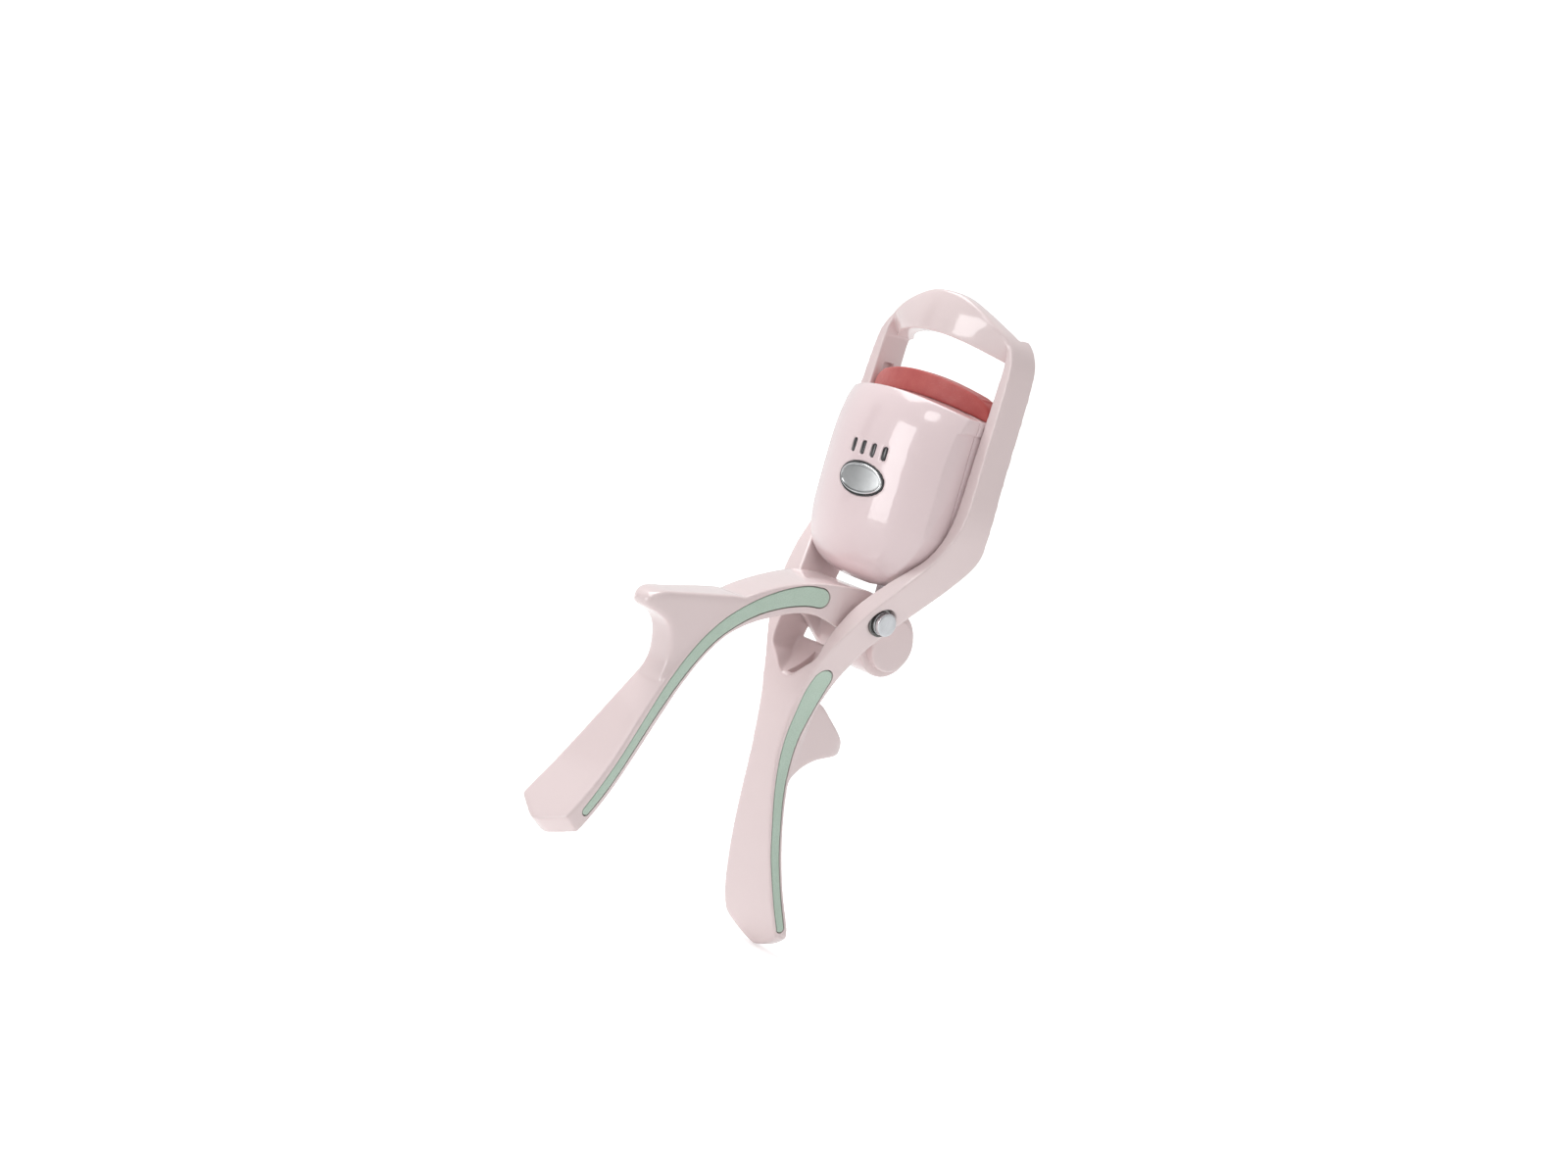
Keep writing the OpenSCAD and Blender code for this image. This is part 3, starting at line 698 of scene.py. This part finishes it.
def add_hinge_pin():
    """Turned pin: a collar in the counterbore and a groove, both in a dark metal that paints the
    counterbore's shade and dark reflection, and a bright head with a rounded edge.
    """
    low, high = box_mm("hinge_pin")
    seat_x, neck_x, groove_x, head_x = 10.0, 10.62, 11.02, 11.3
    head_mm, collar_mm, groove_mm, shank_mm = 1.85, 2.3, 1.7, 1.4
    centre = Vector((0, 0, 0))
    shank = [(low.x, shank_mm - 0.2), (low.x + 0.2, shank_mm), (seat_x - 0.02, shank_mm)]
    collar = [(seat_x, collar_mm - 0.05), (seat_x + 0.05, collar_mm), (seat_x + 0.42, collar_mm)]
    collar += [(seat_x + 0.5, collar_mm - 0.08), (seat_x + 0.5, head_mm + 0.12), (seat_x + 0.44, groove_mm)]
    collar += [(head_x + 0.1, groove_mm), (head_x + 0.1, 0.6)]
    link("hinge_pin_turned", turned(shank + collar, centre, "pin"), PAINTED_SHADE_COLLAR_METAL, "frame", "chrome_trim",
         "hinge_pin")
    band = [(neck_x, groove_mm + 0.01), (neck_x, head_mm - 0.05), (neck_x + 0.05, head_mm)]
    band += [(groove_x - 0.05, head_mm), (groove_x, head_mm - 0.05), (groove_x, groove_mm + 0.01)]
    link("hinge_pin_band", turned(band, centre, "band"), MATERIALS["chrome_trim"], "frame", "chrome_trim",
         "hinge_pin")
    head = [(head_x, 0.6), (head_x, head_mm - 0.04), (head_x + 0.04, head_mm)]
    head += rounded_step(high.x, head_mm, 0.2) + [(high.x, 1.2), (high.x, 0.6)]
    link("hinge_pin_head", turned(head, centre, "head"), MATERIALS["chrome_trim"], "frame", "chrome_trim",
         "hinge_pin")


def add_knuckle_caps():
    """Turned covers of the knuckle, a little short so that they clear the frame as the lever turns."""
    clearance_mm = 0.12
    for side in ("right", "left"):
        low, high = box_mm("knuckle_cap_" + side)
        inner, outer = (low.x, high.x) if side == "right" else (-high.x, -low.x)
        radius = (high.z - low.z) / 2
        outer -= clearance_mm
        profile = [(inner, 3.35), (outer - 1.52, 3.35), (outer - 1.48, radius - 0.12), (outer - 1.38, radius)]
        profile += rounded_step(outer, radius, 0.35)
        profile += [(outer, radius - 0.9), (outer, 1.0)]
        if side == "left":
            profile = [(-x, r) for x, r in profile]
        mesh = turned(profile, centre_mm("knuckle_cap_" + side), "cap")
        link("knuckle_cap_" + side + "_turned", mesh, MATERIALS["pink_shell"], "lever", "pink_shell",
             "knuckle_cap_" + side)


def add_metal_details():
    """Hinge screw and cover screws with softened edges."""
    link("hinge_screw_head", moulded(cad_copy("hinge_screw"), 0.06, 3), MATERIALS["chrome_trim"], "frame",
         "chrome_trim", "hinge_screw")
    link("cover_screws", moulded(cad_copy("housing_screws"), 0.06, 3), MATERIALS["tail_steel"], "housing",
         "tail_steel", "housing_screws")


def finish_cad_nodes():
    """Gives each CAD node that is still shown its slot's material."""
    for entry in frame["record"]["subparts"]:
        target = frame["nodes"][entry["node"]]
        target.data.materials.clear()
        target.data.materials.append(MATERIALS[entry["material_slot"]])


# ---------------------------------------------------------------- stage, light and camera

AIM = Vector((-0.0045, -0.0080, 0.0006))
VIEW_AZIMUTH, VIEW_ELEVATION, VIEW_ROLL = 48.34, 5.88, 15.56
VIEW_DISTANCE = 0.4255
LENS = 62.3


def direction(azimuth, elevation):
    """Unit vector from the object towards a viewer; azimuth 0 is in front, 90 to the right."""
    a, e = math.radians(azimuth), math.radians(elevation)
    return Vector((math.sin(a) * math.cos(e), -math.cos(a) * math.cos(e), math.sin(e)))


def add_floor():
    """A pale floor that sweeps up behind the object and looks brighter to the camera."""
    material, tree, bsdf = new_material("pale_floor")
    seen = add_node(tree, "LightPath").outputs["Is Camera Ray"]
    set_inputs(tree, bsdf, Base_Color=(0.93, 0.93, 0.93, 1.0), Roughness=0.7,
               Emission_Color=(1, 1, 1, 1), Emission_Strength=ranged(tree, seen, 0.12, 0.45, 0.0, 1.0))
    floor_z = cad_box[0].z - 0.0002
    reach, rise, bend = 1.1, 1.6, 0.5
    line = [(-2.2, 0.0), (reach - bend, 0.0)]
    line += [(reach - bend + bend * math.sin(a), bend - bend * math.cos(a))
             for a in (math.pi / 2 * i / 16 for i in range(1, 17))]
    line += [(reach, rise)]
    bm = bmesh.new()
    rows = [[bm.verts.new((side * 2.4, y, floor_z + z)) for side in (-1, 1)] for y, z in line]
    for a, b in zip(rows, rows[1:]):
        bm.faces.new((a[0], a[1], b[1], b[0]))
    floor = bpy.data.objects.new("floor", mesh_from(bm, "floor"))
    floor.rotation_euler = (0, 0, math.radians(VIEW_AZIMUTH))
    floor.data.materials.append(material)
    floor.data.shade_smooth()
    bpy.context.scene.collection.objects.link(floor)


def add_softbox(name, azimuth, elevation, distance, width, height, power, shape="RECTANGLE", diffuse=True):
    """A soft light aimed at the object; without diffuse it only shows as a reflection."""
    light = bpy.data.lights.new(name, "AREA")
    light.shape = shape
    light.size, light.size_y, light.energy = width, height, power
    lamp = bpy.data.objects.new(name, light)
    towards = direction(azimuth, elevation)
    lamp.location = AIM + towards * distance
    lamp.rotation_mode = "QUATERNION"
    lamp.rotation_quaternion = towards.to_track_quat("Z", "Y")
    lamp.visible_diffuse = diffuse
    bpy.context.scene.collection.objects.link(lamp)


def add_flag():
    """A narrow black card beside the camera's left, so that bright metal has something dark to mirror."""
    material, tree, bsdf = new_material("black_card")
    set_inputs(tree, bsdf, Base_Color=(0.01, 0.01, 0.01, 1.0), Roughness=0.8)
    towards = direction(-56, 0)
    side = Vector((0, 0, 1)).cross(towards).normalized()
    bm = bmesh.new()
    corners = [bm.verts.new(AIM + towards * 0.5 + side * a * 0.045 + Vector((0, 0, b * 0.05 + 0.02)))
               for a, b in ((-1, -1), (1, -1), (1, 4), (-1, 4))]
    bm.faces.new(corners)
    card = bpy.data.objects.new("black_card", mesh_from(bm, "card"))
    card.data.materials.append(material)
    bpy.context.scene.collection.objects.link(card)


def add_world():
    world = bpy.data.worlds.new("studio")
    world.use_nodes = True
    background = world.node_tree.nodes["Background"]
    background.inputs["Color"].default_value = (1.0, 0.995, 0.99, 1.0)
    background.inputs["Strength"].default_value = 0.56
    bpy.context.scene.world = world


def add_camera():
    camera = bpy.data.objects.new("camera", bpy.data.cameras.new("camera"))
    camera.data.lens = LENS
    camera.data.sensor_width = 36.0
    camera.data.clip_start, camera.data.clip_end = 0.01, 20.0
    back = direction(VIEW_AZIMUTH, VIEW_ELEVATION)
    side = Vector((0, 0, 1)).cross(back).normalized()
    up = back.cross(side)
    roll = math.radians(VIEW_ROLL)
    right = side * math.cos(roll) + up * math.sin(roll)
    top = back.cross(right)
    rotation = Matrix((right, top, back)).transposed()
    camera.rotation_mode = "QUATERNION"
    camera.rotation_quaternion = rotation.to_quaternion()
    camera.location = AIM + back * VIEW_DISTANCE
    bpy.context.scene.collection.objects.link(camera)
    bpy.context.scene.camera = camera


add_shells()
add_button()
add_button_rim()
add_lenses()
add_hinge_pin()
add_knuckle_caps()
add_metal_details()
finish_cad_nodes()
add_floor()
add_world()
add_softbox("key_softbox", -18, 6, 0.60, 0.20, 0.30, 0.9, diffuse=False)
add_softbox("top_softbox", -60, 62, 0.70, 0.50, 0.50, 3.1)
add_softbox("round_softbox", -4, 36, 0.60, 0.13, 0.13, 0.22, "DISK", diffuse=False)
add_flag()
add_camera()
bpy.context.scene.view_settings.view_transform = "Standard"
